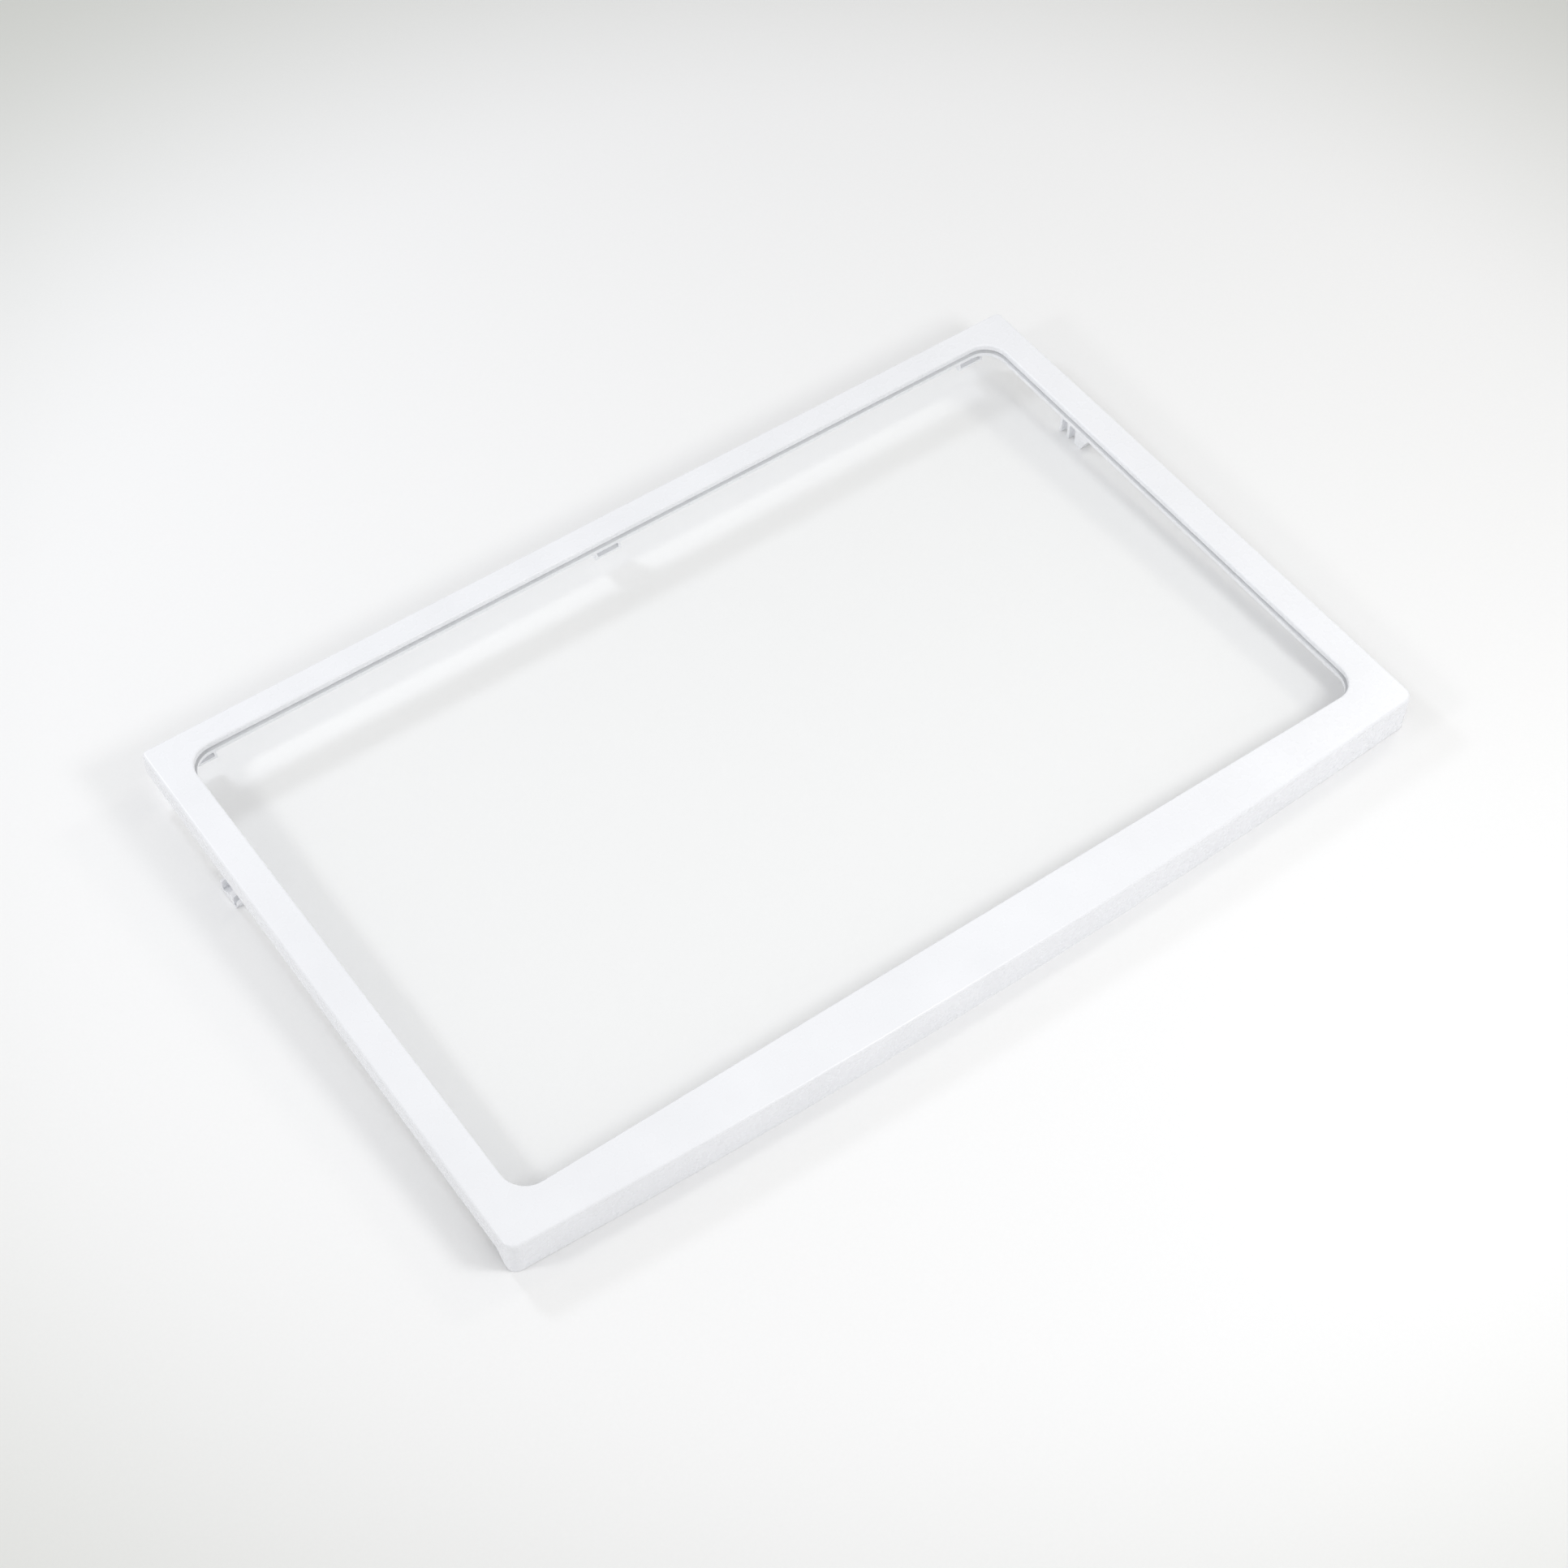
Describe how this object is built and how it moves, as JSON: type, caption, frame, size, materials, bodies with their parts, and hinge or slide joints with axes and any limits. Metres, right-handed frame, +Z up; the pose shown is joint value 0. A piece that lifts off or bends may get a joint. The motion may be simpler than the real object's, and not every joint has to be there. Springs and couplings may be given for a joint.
{
  "type": "refrigerator shelf",
  "caption": "Full-width refrigerator shelf: a clear glass pane in a white moulded frame with a bowed, rounded front rail, toed feet under the side rails and three small hooks on the back rail.",
  "frame": {"origin": "middle of the shelf's plan, on the plane that the feet stand on", "axes": "+X to the right across the shelf, +Y from the door to the back wall, +Z up"},
  "size_m": [0.61, 0.3865, 0.0345],
  "materials": {
    "white_plastic": "satin gloss white injection-moulded plastic",
    "clear_glass": "clear flat glass with a slight green tint, arrised edges"
  },
  "bodies": {
    "root": {"shelf_frame": "white_plastic", "glass_pane": "clear_glass"}
  },
  "joints": []
}
